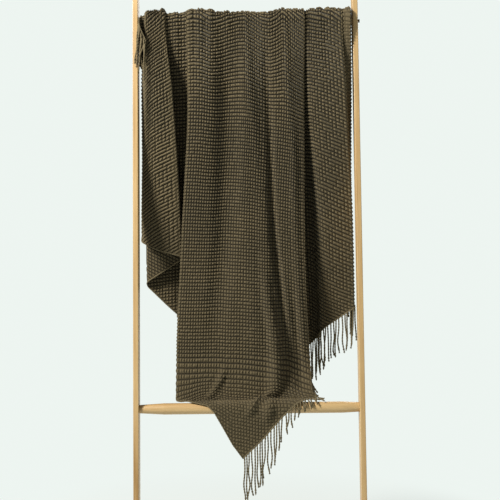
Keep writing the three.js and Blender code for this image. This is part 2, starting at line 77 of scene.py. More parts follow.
# name, turn, u, x at five levels, distance in front of the top rung at four, distance off the lower rung
FOLDS = [
    ("corner_c", 0, -989, -243, -246, -246, -246, -246, 26, 54, 54, 54, 3),
    ("wrap_front", 1, -955, -261, -261, -261, -261, -261, 24, 49, 49, 49, 3),
    ("wrap_back", 0, -935, -261, -261, -261, -261, -261, 3, 4, 4, 4, 3),
    ("rear_middle", 0, -880, -190, -190, -190, -190, -190, 3, 4, 4, 4, 3),
    ("rear_end", 1, -797, -52, -60, -70, -70, -70, 3, 4, 4, 4, 3),
    ("second_start", 0, -781, -52, -60, -70, -70, -70, 5.8, 9.5, 8.5, 8.5, 3),
    ("second_middle", 0, -690, -150, -150, -160, -160, -160, 5.8, 9.5, 8.5, 8.5, 3),
    ("flap_back", 1, -603, -251, -262, -264, -264, -264, 5.8, 9.5, 8, 8, 3),
    ("flap_left", 0, -583, -245, -247, -265, -265, -265, 16, 44, 48, 48, 3),
    ("flap_ridge", 0, -545, -222, -228, -232, -232, -232, 17, 54, 56, 56, 3),
    ("flap_right", 1, -499, -197, -180, -164, -160, -160, 15, 52, 50, 50, 3),
    ("flap_turn", 0, -485, -197, -180, -164, -160, -160, 11.4, 40, 36, 36, 3),
    ("smooth_left", 1, -396, -231, -236, -254, -256, -256, 11.4, 30, 30, 30, 3),
    ("smooth_turn", 0, -380, -231, -236, -254, -256, -256, 8.6, 17, 15, 15, 3),
    ("dark_middle", 0, -310, -170, -170, -180, -185, -185, 8.6, 15, 14, 16, 3),
    ("dark_right", 1, -252, -108, -110, -104, -104, -104, 8.6, 15, 14, 24, 3),
    ("hidden_right", 0, -238, -108, -110, -104, -108, -108, 11.2, 24, 30, 52, 3),
    ("main_turn", 1, -183, -146, -143, -160, -176, -168, 11.2, 44, 62, 98, 3),
    ("main_left", 0, -168, -146, -143, -164, -180, -172, 14.6, 50, 72, 112, 3),
    ("ridge_1", 0, -130, -104, -106, -130, -146, -136, 17, 58, 78, 118, 3),
    ("valley_1", 0, -72, -56, -58, -82, -94, -86, 9, 38, 72, 116, 3),
    ("ridge_2", 0, -4, 0, -2, -22, -30, -20, 11, 52, 78, 124, 3),
    ("edge_2", 0, 30, 19, 18, 9, 6, 12, 10, 48, 79, 127, 4),
    ("valley_2", 0, 60, 46, 46, 35, 32, 42, 8, 36, 74, 124, 3),
    ("ridge_3", 0, 116, 97, 98, 82, 88, 102, 17, 56, 80, 124, 7),
    ("main_right", 1, 184, 146, 143, 142, 154, 186, 16, 36, 74, 112, 5),
    ("fold_turn", 0, 200, 146, 143, 140, 154, 186, 12.6, 30, 61, 98, 3),
    ("fold_left", 1, 254, 105, 108, 108, 122, 122, 12, 23, 18, 40, 3),
    ("fold_back", 0, 266, 105, 110, 112, 130, 130, 8.6, 16, 9, 24, 3),
    ("fold_right", 0, 314, 151, 150, 168, 176, 176, 8.6, 17, 9, 18, 3),
    ("panel_left", 0, 342, 155, 154, 174, 180, 180, 17, 46, 52, 52, 3),
    ("panel_middle", 0, 388, 196, 202, 221, 228, 228, 16, 48, 54, 52, 3),
    ("panel_right", 1, 424, 238, 246, 264, 270, 270, 18, 50, 55, 54, 3),
    ("bundle_tuck", 0, 434, 236, 243, 259, 264, 264, 13, 34, 36, 36, 3),
    ("bundle_edge", 1, 458, 260, 261, 261, 264, 264, 23, 22, 18, 18, 3),
    ("panel_turn", 0, 470, 260, 261, 261, 264, 264, 5.8, 11, 2, 2, 3),
    ("right_middle", 0, 530, 160, 160, 170, 170, 170, 5.8, 11, 1, 1, 3),
    ("right_left", 1, 620, 77, 72, 72, 72, 72, 5.8, 11, 1, 1, 3),
    ("last_left", 0, 636, 77, 72, 72, 72, 72, 3, 3, -7, -7, 3),
    ("last_middle", 0, 730, 155, 155, 155, 155, 155, 3, 3, -7, -7, 3),
    ("corner_b", 0, 826, 240, 240, 240, 240, 240, 3, 3, -7, -7, 3),
]
TURN_LEG, TURN_LEG_SHARE = 7, 0.45

# Creases that wander across the strands: rows of v, the strand they are on, half width and height
CREASES = [np.array(rows, float) for rows in (
    ((20, -70, 30, 0), (60, -60, 46, -5), (120, -57, 50, -11), (200, -56, 52, -14), (380, -47, 54, -16),
     (560, -43, 52, -16), (700, -54, 46, -12), (860, -66, 40, 0)),
    ((-20, -4, 28, 0), (30, -4, 28, 3), (120, 2, 32, 5), (200, 6, 34, 5), (380, 12, 36, 6),
     (560, 28, 40, 6), (760, 44, 44, 5), (880, 56, 44, 0)),
    ((200, 24, 26, 0), (380, 44, 28, 6), (560, 62, 28, 9), (840, 100, 26, 11), (915, 108, 24, 0)),
    ((60, 68, 18, 0), (120, 66, 18, -5), (200, 66, 18, -8), (380, 79, 18, -14), (560, 94, 20, -20),
     (840, 128, 18, -18), (925, 132, 18, 0)),
    ((-30, 106, 18, 0), (0, 107, 20, 4), (60, 115, 22, 5), (200, 119, 22, 4), (380, 131, 20, 0)),
    ((250, 138, 16, 0), (380, 146, 18, 6), (560, 156, 16, 6), (840, 166, 14, 6), (925, 168, 14, 0)),
)]

# Narrow crinkles of the same kind where the cloth bunches up on the rungs
CRINKLES = [np.array(rows, float) for rows in (
    ((-35, -513, 12, 0), (0, -513, 13, 6), (40, -513, 13, 3), (100, -513, 12, 0)),
    ((-30, -313, 11, 0), (0, -313, 11, 4), (120, -313, 11, 4), (240, -313, 11, 0)),
    ((-30, -288, 9, 0), (0, -288, 9, 4), (80, -286, 9, 3), (200, -284, 9, 0)),
    ((-35, -157, 8, 0), (0, -157, 9, 4), (60, -157, 9, 3), (160, -156, 9, 0)),
    ((-35, -138, 12, 0), (0, -138, 14, 5), (80, -139, 16, 5), (200, -140, 16, 0)),
    ((-35, -108, 9, 0), (-5, -108, 11, 5), (30, -106, 11, 2), (60, -104, 11, 0)),
    ((-35, -62, 14, 0), (0, -62, 18, 4), (80, -58, 20, 4), (200, -50, 22, 0)),
    ((-35, 372, 9, 0), (0, 372, 10, 4), (50, 374, 12, 2), (120, 376, 12, 0)),
    ((-35, 398, 8, 0), (0, 398, 9, 4), (40, 400, 10, 2), (100, 400, 10, 0)),
    ((600, 56, 24, 0), (700, 72, 24, 8), (800, 86, 22, 10), (880, 92, 26, 11), (905, 90, 26, 13),
     (925, 76, 22, 13), (945, 50, 18, 12), (965, 28, 18, 9), (995, 10, 16, 0)),
    ((600, 78, 14, 0), (700, 88, 14, -6), (780, 106, 12, -7), (860, 118, 16, -4), (900, 124, 18, -3),
     (925, 124, 18, 0)),
    ((640, 118, 16, 0), (760, 124, 16, 4), (860, 128, 16, 6), (880, 128, 16, 0)),
    ((640, 140, 22, 0), (760, 146, 22, -9), (860, 152, 30, -11), (900, 154, 32, -11), (925, 154, 32, 0)),
    ((862, -34, 14, 0), (882, -43, 15, 6), (925, -80, 15, 6), (948, -102, 12, 0)),
    ((935, 92, 20, 0), (955, 74, 20, 6), (975, 64, 20, 9), (995, 60, 18, 6), (1015, 56, 16, 0)),
)]

# u, how far the strand has slipped down the front: at the rung, high up, low down, at the tip and behind
SLIPS = np.array([
    (-989, 132, 132, 132, 132, 132), (-588, 126, 138, 160, 160, 160), (-490, 83, 83, 83, 83, 120),
    (-387, 32, 32, 30, 30, 95), (-245, 18, 20, 10, 10, 95), (-168, 12, 12, 8, 23, 95),
    (-150, 10, 12, 8, 12, 95), (-130, 14, 13, 8, 2, 95), (-108, 23, 16, 8, -18, 90),
    (-90, 20, 17, 8, -35, 85), (-72, 16, 17, 8, -41, 80), (-50, 10, 16, 8, -29, 70),
    (-25, 5, 16, 9, -13, 58), (-4, 5, 17, 9, -9, 52), (15, 13, 19, 10, -5, 50),
    (30, 18, 21, 11, -1, 47), (54, 31, 27, 13, 3, 45), (75, 36, 31, 15, 1, 45), (95, 29, 34, 17, 0, 45),
    (110, 20, 36, 20, 1, 45), (122, 25, 38, 22, 5, 45), (140, 37, 41, 27, 16, 50),
    (160, 47, 47, 32, 28, 55), (184, 57, 52, 38, 40, 60), (342, 63, 58, 98, 98, 90),
    (360, 66, 64, 105, 105, 97), (388, 71, 76, 118, 117, 110), (405, 78, 84, 125, 124, 118),
    (429, 92, 96, 135, 133, 125), (826, 165, 165, 165, 165, 165),
], float)

# From which v, and over how much of it, each of the front's slips takes over from the one above it
SLIP_HIGH, SLIP_LOW, SLIP_TIP = (60, 240), (300, 450), (870, 90)
SLIP_ROUNDS = 8

# The strands that go over the lower rung, and where they land on it
OVER_FROM, OVER_FULL, OVER_LEAVE, OVER_GONE = -236, -196, 186, 214
LAND_V, LAND_FRONT, LAND_ANGLE = 941, 977, radians(-30)
LAND_PULL, LEAVE_PULL = -60, -12
LEVEL_LOW = 840
BACK_LENGTH, BACK_LEFT, BACK_DRAW, BACK_APART = 450, -165, 0.7, 1
SEAT = 1.2

# How far below the last level, and above the landing, the crinkles come in and go out
KEPT_FROM, KEPT_UNTIL = 50, 25


def smooth(t):
    t = np.clip(t, 0, 1)
    return t * t * (3 - 2 * t)


def passed(v, start, over):
    return smooth((v - start) / over)


def mix(a, b, share):
    return a + (b - a) * share


def hermite(t, p0, d0, p1, d1):
    t2, t3 = t * t, t * t * t
    return (2 * t3 - 3 * t2 + 1) * p0 + (t3 - 2 * t2 + t) * d0 + (3 * t2 - 2 * t3) * p1 + (t3 - t2) * d1


def control_rows():
    """The fold table with a helper row beside each tight turn, so that its legs stay parallel."""
    rows = [np.array(row[2:], float) for row in FOLDS]
    turns = [row[1] for row in FOLDS]

    def between(a, b):
        share = min(TURN_LEG / max(abs(a[1] - b[1]), 1), TURN_LEG_SHARE)
        return mix(a, b, share)

    made = []
    for i, row in enumerate(rows):
        if turns[i] and i > 0:
            made.append(between(row, rows[i - 1]))
        made.append(row)
        if i > 0 and turns[i - 1] and i < len(rows) - 1:
            made.append(between(row, rows[i + 1]))
    return np.array(made)


CONTROLS = control_rows()
LAST = len(CONTROLS) - 1
U = CONTROLS[:, 0]
X = CONTROLS[:, 1:6].T
N = CONTROLS[:, 6:10].T
M = CONTROLS[:, 10]


def level_tangents(levels, table):
    slopes = np.diff(table, axis=0) / np.diff(levels)[:, None]
    product = slopes[:-1] * slopes[1:]
    total = np.where(product > 0, slopes[:-1] + slopes[1:], 1)
    ends = np.zeros((1, table.shape[1]))
    return np.vstack([ends, np.where(product > 0, 2 * product / total, 0), ends])


def at_level(levels, table, tangents, v, i):
    """A cubic through the levels, flat at its ends and without overshoot."""
    at = np.clip(v, levels[0], levels[-1])
    k = np.clip(np.searchsorted(levels, at, side="right") - 1, 0, len(levels) - 2)
    span = levels[k + 1] - levels[k]
    t = (at - levels[k]) / span
    return hermite(t, table[k, i], span * tangents[k, i], table[k + 1, i], span * tangents[k + 1, i])


X_TANGENTS = level_tangents(LEVELS_X, X)
N_TANGENTS = level_tangents(LEVELS_N, N)


def along_folds(value, s):
    """A quadratic B-spline along the fold rows: s runs from 0 to LAST."""
    k = np.clip(np.floor(s + 0.5).astype(int), 1, LAST - 1)
    first, last = k == 1, k == LAST - 1
    start = np.where(first, 0, k - 0.5)
    end = np.where(last, LAST, k + 0.5)
    t = (s - start) / (end - start)
    before, own, after = value(k - 1), value(k), value(k + 1)
    a = np.where(first, before, (before + own) / 2)
    b = np.where(last, after, (own + after) / 2)
    return (1 - t) ** 2 * a + 2 * t * (1 - t) * own + t * t * b


FINE_STEPS = 12000
FINE_PLACES = np.linspace(0, LAST, FINE_STEPS)
FINE_STRANDS = along_folds(lambda k: U[k], FINE_PLACES)


def lift(tables, u, v):
    """How far the creases or crinkles lift the cloth off the folds."""
    total = np.zeros(np.shape(u))
    for rows in tables:
        place, width, height = (np.interp(v, rows[:, 0], rows[:, k]) for k in (1, 2, 3))
        total += height * smooth(1 - np.abs(u - place) / width)
    return total


def drape(u, v):
    """Where the point v on the strand u hangs, from the top rung's middle."""
    u, v = np.broadcast_arrays(np.asarray(u, float), np.asarray(v, float))
    s = np.interp(u, FINE_STRANDS, FINE_PLACES)
    opened = smooth((-v - QUARTER) / BACK_LENGTH)
    x = along_folds(lambda k: at_level(LEVELS_X, X, X_TANGENTS, v, k), s)
    x = x + BACK_DRAW * opened * np.maximum(BACK_LEFT - x, 0)
    n = along_folds(lambda k: at_level(LEVELS_N, N, N_TANGENTS, v, k), s) * (1 + BACK_APART * opened)
    radius = RUNG_RADIUS + SEAT + n + lift(CREASES + CRINKLES, u, v)
    angle = np.clip(v / QUARTER, -1, 1) * np.pi / 2
    y = -radius * np.sin(angle)
    z = radius * np.cos(angle) - np.maximum(np.abs(v) - QUARTER, 0)
    from_right = smooth((OVER_GONE - u) / (OVER_GONE - OVER_LEAVE))
    from_left = smooth((u - OVER_FROM) / (OVER_FULL - OVER_FROM))
    over = np.where(v > LEVEL_LOW, from_right * from_left, 0)
    crinkled = lift(CRINKLES, u, v)
    low_y, low_z = over_lower_rung(v, y, along_folds(lambda k: M[k], s) + crinkled)
    kept = smooth((v - LEVEL_LOW) / KEPT_FROM) * smooth((LAND_V - v) / KEPT_UNTIL)
    return np.stack([x, mix(y, low_y - kept * crinkled, over), mix(z, low_z, over)], axis=-1)


def over_lower_rung(v, y, m):
    """The way of a strand that goes over the lower rung, below the last level."""
    radius = RUNG_RADIUS + SEAT + m
    t = np.clip((v - LEVEL_LOW) / (LAND_V - LEVEL_LOW), 0, 1)
    land_y = LOW_Y - radius * np.sin(LAND_ANGLE)
    land_z = LOW_Z + radius * np.cos(LAND_ANGLE)
    down_y = hermite(t, y, LEAVE_PULL, land_y, LAND_PULL * np.cos(LAND_ANGLE))
    down_z = hermite(t, QUARTER - LEVEL_LOW, LEVEL_LOW - LAND_V, land_z, LAND_PULL * np.sin(LAND_ANGLE))
    angle = mix(LAND_ANGLE, np.pi / 2, np.clip((v - LAND_V) / (LAND_FRONT - LAND_V), 0, 1))
    on_y = LOW_Y - radius * np.sin(angle)
    on_z = LOW_Z + radius * np.cos(angle) - np.maximum(v - LAND_FRONT, 0)
    landed = v >= LAND_V
    return np.where(landed, on_y, down_y), np.where(landed, on_z, down_z)


def slip(u, v):
    top, high, low, tip, back = (np.interp(u, SLIPS[:, 0], SLIPS[:, k]) for k in range(1, 6))
    front = mix(top, high, passed(v, *SLIP_HIGH))
    front = mix(front, low, passed(v, *SLIP_LOW))
    front = mix(front, tip, passed(v, *SLIP_TIP))
    return np.where(v < -QUARTER, mix(top, back, smooth((-v - QUARTER) / BACK_LENGTH)), front)


def strand_place(a, b):
    """u and v of a point of the flat cloth: a along the selvedge and b along the end, from the tip."""
    u = BIAS_ACROSS * (b - a) / np.sqrt(2)
    flat = TIP_DROP - BIAS_DOWN * (a + b) / np.sqrt(2)
    v = flat
    for _ in range(SLIP_ROUNDS):
        v = flat + slip(u, v)
    return u, v


RUNG_LOW_CORNER, RUNG_HIGH_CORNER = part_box("rung_top")
RUNG_MIDDLE = (RUNG_LOW_CORNER + RUNG_HIGH_CORNER) / 2


def to_frame(points):
    """Millimetres from the top rung's middle to metres in the row frame."""
    return np.asarray(points) * 0.001 + np.array(RUNG_MIDDLE)


def new_mesh(name, points, faces, flat_shaded=False):
    mesh = bpy.data.meshes.new(name)
    mesh.from_pydata(to_frame(points).tolist(), [], np.asarray(faces).tolist())
    mesh.update()
    mesh.polygons.foreach_set("use_smooth", np.full(len(mesh.polygons), not flat_shaded))
    made = bpy.data.objects.new(name, mesh)
    bpy.context.scene.collection.objects.link(made)
    return made


# The throw: a grid over the flat cloth, with a stitch's top at every other grid point
GRID = STITCH / np.sqrt(2)
COLUMNS_A = round(SELVEDGE / GRID)
COLUMNS_B = round(END / GRID)
STITCH_JITTER = 0.12
RIM_STITCHES, RIM_LEAST = 3, 0.15
UV_MARGIN = 0.002


def grid_normals(places):
    across = np.gradient(places, axis=1)
    along = np.gradient(places, axis=0)
    normals = np.cross(across, along)
    return normals / np.maximum(np.linalg.norm(normals, axis=-1, keepdims=True), 1e-9)


def make_throw():
    i, j = np.meshgrid(np.arange(COLUMNS_A + 1), np.arange(COLUMNS_B + 1), indexing="ij")
    a = i * SELVEDGE / COLUMNS_A
    b = j * END / COLUMNS_B
    u, v = strand_place(a, b)
    places = drape(u, v)
    normals = grid_normals(places)
    rim = np.minimum.reduce([i, j, COLUMNS_A - i, COLUMNS_B - j])
    top = (i + j) % 2 == 0
    at_rim = np.clip((rim + 0.5) / RIM_STITCHES, RIM_LEAST, 1)
    height = BUMP_HEIGHT * stitch_share(u, v) * stand_out_and_light(u, v) * at_rim
    jitter = RNG.normal(0, STITCH_JITTER, places.shape)
    lifted = places + normals * (np.where(top, 1, -1) * height)[..., None] + jitter
    index = i * (COLUMNS_B + 1) + j
    p, q, r, s = index[:-1, :-1], index[:-1, 1:], index[1:, 1:], index[1:, :-1]
    even = top[:-1, :-1]
    ribbed = in_rows(u, v)
    joined = ~even & (RNG.random(even.shape) < mix(*ROW_SHARES, ribbed[:-1, :-1]))
    even = even | joined
    first = np.where(even[..., None], np.stack([p, q, s], -1), np.stack([p, q, r], -1))
    second = np.where(even[..., None], np.stack([q, r, s], -1), np.stack([p, r, s], -1))
    faces = np.concatenate([first.reshape(-1, 3), second.reshape(-1, 3)])
    throw = new_mesh("knit_throw", lifted.reshape(-1, 3), faces, flat_shaded=True)
    mesh = throw.data
    stitches = mesh.attributes.new("stitch", "FLOAT_VECTOR", "POINT")
    # The stitch's place on the flat cloth, and how much painted shade its column gaps get
    flat = np.stack([(j - i) / 2, (i + j) / 2, mix(*COLUMN_GAP_SHADES, ribbed)], -1)
    stitches.data.foreach_set("vector", flat.reshape(-1).astype(np.float32))
    # How far the stitches stand out. The knit's painted light and shade and its painted gap shade follow
    # it too.
    relief_and_light = mesh.attributes.new("relief_and_light", "FLOAT", "POINT")
    relief_and_light.data.foreach_set("value", stand_out_and_light(u, v).reshape(-1).astype(np.float32))
    corners = np.empty(len(mesh.loops), np.int32)
    mesh.loops.foreach_get("vertex_index", corners)
    uv = UV_MARGIN + (1 - 2 * UV_MARGIN) * np.stack([a, b], -1).reshape(-1, 2)[corners] / SELVEDGE
    mesh.uv_layers.new(name="OFBake").uv.foreach_set("vector", uv.reshape(-1).astype(np.float32))
    return throw


# The strands of the left flap, where the right panel starts, and the bands whose plain side faces
# forward. In v: where the cloth is clear of the top rung, and where the rows high up end.
FLAP = -592, -490
PANEL_FROM = 326
PLAIN_BANDS = (-500, -384), (-236, -172), (196, 266)
SOFT_EDGE = 8
OFF_RUNG = 20, 40
HIGH_ROWS = 120, 260
ROWS_SHARE = 0.7
PLAIN_SHARE = 0.75


def band(u, low, high):
    """1 between two strands and 0 outside them, with soft edges."""
    return smooth((u - low) / SOFT_EDGE) * smooth((high - u) / SOFT_EDGE)


def in_rows(u, v):
    """Where the rows show more than the columns: on the left flap and the right panel, and high up."""
    flap = band(u, *FLAP) * passed(v, *OFF_RUNG)
    panel = ROWS_SHARE * passed(u, PANEL_FROM, SOFT_EDGE) * passed(v, *OFF_RUNG)
    high = ROWS_SHARE * (1 - passed(v, *HIGH_ROWS))
    return np.maximum.reduce([flap, panel, high])


# u, half width and share of the folds' outer edges, where the stitches lie flat
FLAT_EDGES = ((-970, 12, 0.4), (-593, 14, 0.6), (-499, 8, 0.5),
              (-175, 10, 0.6), (190, 8, 0.5), (447, 26, 0.45))


# v and how far the stitches stand out there. The knit's colour follows it as painted light: lighter near
# the top rung, darker lower down.
STAND_OUT = np.array([(0, 1.25), (150, 1.22), (400, 1.08), (850, 0.95), (960, 0.78)])


def stand_out_and_light(u, v):
    """The stitches stand out near the top rung, and less low down and on the folds' outer edges. The
    knit's colour follows them as painted light and shade: lighter near the top rung, darker low down and
    on those edges.
    """
    level = np.interp(v, STAND_OUT[:, 0], STAND_OUT[:, 1])
    for edge, width, share in FLAT_EDGES:
        level = level * (1 - share * np.exp(-((u - edge) / width) ** 2))
    return level


def stitch_share(u, v):
    """How much of the stitch relief shows: little on the plain side where that faces forward."""
    plain = np.maximum.reduce([band(u, low, high) for low, high in PLAIN_BANDS])
    return 1 - PLAIN_SHARE * plain * passed(v, *OFF_RUNG)


# Tassels: two plies twisted round each other, a knot and a frayed end. The table has u and how much of a
# front tassel hangs free: on the lower rung the rest of it is tucked up.
TASSEL_LENGTHS = np.array([(0, 118), (50, 112), (66, 101), (80, 90), (90, 70), (100, 56), (112, 46),
                           (124, 34), (140, 26), (200, 24), (240, 90), (300, 105), (350, 94)], float)
BACK_TASSEL = 100
TASSEL_PITCH = 10.0
PLY_RADIUS = 1.45
PLY_OFFSET = 0.6
TWIST_LENGTH = 15
RING_STEP = 1.8
PLY_SIDES = 5
KNOT_SIDES = 6
KNOT_HALF = 2.4
KNOT_RADII = 1.3, 2.3, 2.6, 2.3, 1.3
KNOT_FROM_END = 9, 13
SQUEEZE, SQUEEZE_HALF = 0.55, 1.6

# Past the knot the plies open and thin out, and their last stretch comes to a tip
OPEN_OVER, OPEN_SPREAD, OPEN_THINNER = 8, 0.9, 0.25
TIP_OVER, TIP_SHARE = 3, 0.35

# How tassels differ: place along the edge, length, waves down the line, lean in pairs and stray
LINE_POINTS = 40
ROOT_INSIDE = 3
PLACE_SPREAD = 0.18
LENGTH_SPREAD = 0.94, 1.05
WAVE_SIZE = 0.8, 3.2
WAVE_LENGTH = 60, 110
WAVE_DEEP = 0.5
PAIR_LEAN = 5.5
STRAY = 2.0

# Back tassels whose root is this far down the front fall forward, clear of the leaning rail's face
FALL_FORWARD = 20
FALL_OUT, FALL_OUT_OVER = 7, 14
FALL_SIDE, FALL_SIDE_OVER = -9, 60
RAIL_DEEP = 38
TASSEL_CLEAR, CLEAR_OVER = 4, 12
CORNER_FROM, CORNER_OVER = -240, 20


SIDE_HINT = 0.13, 0.97, 0.21


def across_line(line):
    """Two directions square to a line of points, at each of them."""
    tangents = np.gradient(line, axis=0)
    tangents /= np.linalg.norm(tangents, axis=1, keepdims=True)
    side = np.cross(tangents, SIDE_HINT)
    side /= np.linalg.norm(side, axis=1, keepdims=True)
    return side, np.cross(tangents, side)


def tube(line, radii, sides, points, faces):
    """Adds a closed tube round a line of points to the lists."""
    line = np.asarray(line)
    side, other = across_line(line)
    turn = np.arange(sides) * 2 * np.pi / sides
    cosine, sine = np.cos(turn)[None, :, None], np.sin(turn)[None, :, None]
    ring = cosine * side[:, None, :] + sine * other[:, None, :]
    first = sum(len(block) for block in points)
    points.append((line[:, None, :] + ring * np.asarray(radii)[:, None, None]).reshape(-1, 3))
    points.append(line[[0, -1]])
    count = len(line)
    rows = np.arange(count - 1)[:, None] * sides
    k = np.arange(sides)[None, :]
    after = (k + 1) % sides
    p, q = first + rows + k, first + rows + after
    r, s = q + sides, p + sides
    faces.append(np.stack([p, q, r], -1).reshape(-1, 3))
    faces.append(np.stack([p, r, s], -1).reshape(-1, 3))
    start, end = first + count * sides, first + count * sides + 1
    k, after = k[0], after[0]
    faces.append(np.stack([np.full(sides, start), first + after, first + k], -1))
    last = first + (count - 1) * sides
    faces.append(np.stack([np.full(sides, end), last + k, last + after], -1))


def add_tassel(line, points, faces):
    """line is the tassel's middle, from its root to its end."""
    steps = np.linalg.norm(np.diff(line, axis=0), axis=1)
    gone = np.concatenate([[0], np.cumsum(steps)])
    length = gone[-1]
    at = np.linspace(0, length, max(int(length / RING_STEP), 4))
    middle = np.stack([np.interp(at, gone, line[:, k]) for k in range(3)], -1)
    side, other = across_line(middle)
    start = RNG.uniform(0, 2 * np.pi)
    knot = length - RNG.uniform(*KNOT_FROM_END)
    open_end = np.clip((at - knot) / OPEN_OVER, 0, 1)
    squeeze = 1 - SQUEEZE * np.exp(-((at - knot) / SQUEEZE_HALF) ** 2)
    tip = np.clip((length - at) / TIP_OVER + TIP_SHARE, TIP_SHARE, 1)
    for ply in (0, 1):
        turn = start + ply * np.pi + 2 * np.pi * at / TWIST_LENGTH
        offset = PLY_OFFSET * squeeze * (1 + OPEN_SPREAD * open_end)
        path = middle + offset[:, None] * (np.cos(turn)[:, None] * side + np.sin(turn)[:, None] * other)
        radii = PLY_RADIUS * tip * (1 - OPEN_THINNER * open_end)
        tube(path, radii, PLY_SIDES, points, faces)
    ends = knot - KNOT_HALF, knot + KNOT_HALF
    ball = np.interp(np.linspace(*ends, len(KNOT_RADII)), gone, np.arange(len(gone)))
    centre = np.stack([np.interp(ball, np.arange(len(gone)), line[:, k]) for k in range(3)], -1)
    tube(centre, KNOT_RADII, KNOT_SIDES, points, faces)


def make_fringe(name, a, way):
    """A tassel at each pitch along the end of the cloth at a, hung on down its strand."""
    points, faces = [], []
    count = round(END / TASSEL_PITCH)
    for k in range(count):
        b = (k + 0.5 + RNG.uniform(-PLACE_SPREAD, PLACE_SPREAD)) * END / count
        u, edge = strand_place(np.array(float(a)), np.array(b))
        length = tassel_length(float(u), way) * RNG.uniform(*LENGTH_SPREAD)
        t = np.linspace(-ROOT_INSIDE, length, LINE_POINTS)
        hung = drape(np.full(LINE_POINTS, float(u)), edge + way * t)
        if way < 0 and edge > FALL_FORWARD:
            hung = fall_forward(hung[0], t)
        free = np.clip(t / length, 0, 1)
        wave = RNG.uniform(*WAVE_SIZE)
        rate = 2 * np.pi / RNG.uniform(*WAVE_LENGTH)
        phase = RNG.uniform(0, 2 * np.pi)
        pair = (1 if k % 2 else -1) * RNG.uniform(0, PAIR_LEAN)
        hung[:, 0] += wave * free * np.sin(rate * t + phase) + (RNG.normal(0, STRAY) + pair) * free
        hung[:, 1] += WAVE_DEEP * wave * free * np.cos(rate * t + phase)
        if way < 0 and edge > FALL_FORWARD:
            on_rail = np.minimum(hung[:, 1], rail_front(hung[:, 2]) - TASSEL_CLEAR)
            hung[:, 1] = mix(hung[:, 1], on_rail, smooth(t / CLEAR_OVER))
        add_tassel(hung, points, faces)
    return new_mesh(name, np.concatenate(points), np.concatenate(faces))


def rail_front(z):
    """The front face of the leaning rails, which the forward tassels lie on."""
    return z * np.tan(LEAN) - RAIL_DEEP / 2 / np.cos(LEAN)


def fall_forward(root, t):
    """The way down in front of the cloth, for a tassel whose root is on the front of its corner."""
    down = np.maximum(t, 0)
    out = FALL_OUT * smooth(down / FALL_OUT_OVER)
    near_rail = smooth((CORNER_FROM - root[0]) / CORNER_OVER)
    side = FALL_SIDE * smooth(down / FALL_SIDE_OVER) * near_rail * RNG.uniform(0.2, 1)
    return root + np.stack([side, -out, -down], -1)


def tassel_length(u, way):
    return np.interp(u, TASSEL_LENGTHS[:, 0], TASSEL_LENGTHS[:, 1]) if way > 0 else BACK_TASSEL


# The edging: a thin whipped cord round the cloth's four edges
EDGING_RADIUS = 1.5
EDGING_RIPPLE = 0.3
EDGING_SIDES = 6


def make_edging():
    points, faces = [], []
    along_a = np.linspace(0, SELVEDGE, 2 * COLUMNS_A + 1)
    along_b = np.linspace(0, END, 2 * COLUMNS_B + 1)
    for a, b in ((0, along_b), (SELVEDGE, along_b), (along_a, 0), (along_a, END)):
        a, b = np.broadcast_arrays(np.asarray(a, float), np.asarray(b, float))
        u, v = strand_place(a, b)
        line = drape(u, v)
        radii = EDGING_RADIUS + EDGING_RIPPLE * np.cos(np.arange(len(line)) * np.pi)
        tube(line, radii, EDGING_SIDES, points, faces)
    return new_mesh("edging", np.concatenate(points), np.concatenate(faces))


# Materials
def node(tree, kind, **settings):
    made = tree.nodes.new("ShaderNode" + kind)
    for key, value in settings.items():
        setattr(made, key, value)
    return made


def plug(tree, socket, value):
    if isinstance(value, bpy.types.NodeSocket):
        tree.links.new(value, socket)
    else:
        socket.default_value = value


def calc(tree, operation, *values):
    made = node(tree, "Math", operation=operation)
    for socket, value in zip(made.inputs, values):
        plug(tree, socket, value)
    return made.outputs[0]


def ramp(tree, factor, stops):
    made = node(tree, "ValToRGB")
    elements = made.color_ramp.elements
    while len(elements) < len(stops):
        elements.new(0.5)
    for element, (place, color) in zip(elements, stops):
        element.position = place
        element.color = (*color, 1)
    plug(tree, made.inputs[0], factor)
    return made.outputs[0]


def blend_colors(tree, mode, factor, a, b):
    made = node(tree, "Mix", data_type="RGBA", blend_type=mode)
    plug(tree, made.inputs[0], factor)
    plug(tree, made.inputs[6], a)
    plug(tree, made.inputs[7], b)
    return made.outputs[2]


def noise(tree, vector, scale, detail=2.0, roughness=0.5):
    made = node(tree, "TexNoise")
    plug(tree, made.inputs["Vector"], vector)
    made.inputs["Scale"].default_value = scale
    made.inputs["Detail"].default_value = detail
    made.inputs["Roughness"].default_value = roughness
    return made.outputs["Fac"]


def bump(tree, height, distance, strength=1.0, normal=None):
    made = node(tree, "Bump")
    made.inputs["Strength"].default_value = strength
    made.inputs["Distance"].default_value = distance
    plug(tree, made.inputs["Height"], height)
    if normal is not None:
        plug(tree, made.inputs["Normal"], normal)
    return made.outputs["Normal"]


def new_material(name):
    made = bpy.data.materials.new(name)
    made.use_nodes = True
    return made, made.node_tree, made.node_tree.nodes["Principled BSDF"]


# Yarn colours. The two darker ones are painted shade for the knit: half shade at the edges of the gaps
# between stitches, and full shade down in the gaps.
YARN_PALE = (0.160, 0.128, 0.071)
YARN_LIGHT = (0.131, 0.103, 0.055)
YARN_HALF_SHADE = (0.067, 0.0525, 0.0275)
YARN_GAP_SHADE = (0.0095, 0.007, 0.004)


def soft_yarn(shader):
    shader.inputs["Roughness"].default_value = 0.92
    shader.inputs["Specular IOR Level"].default_value = 0.2
    shader.inputs["Sheen Weight"].default_value = 0.12
    shader.inputs["Sheen Roughness"].default_value = 0.45
    shader.inputs["Sheen Tint"].default_value = (0.75, 0.72, 0.6, 1)


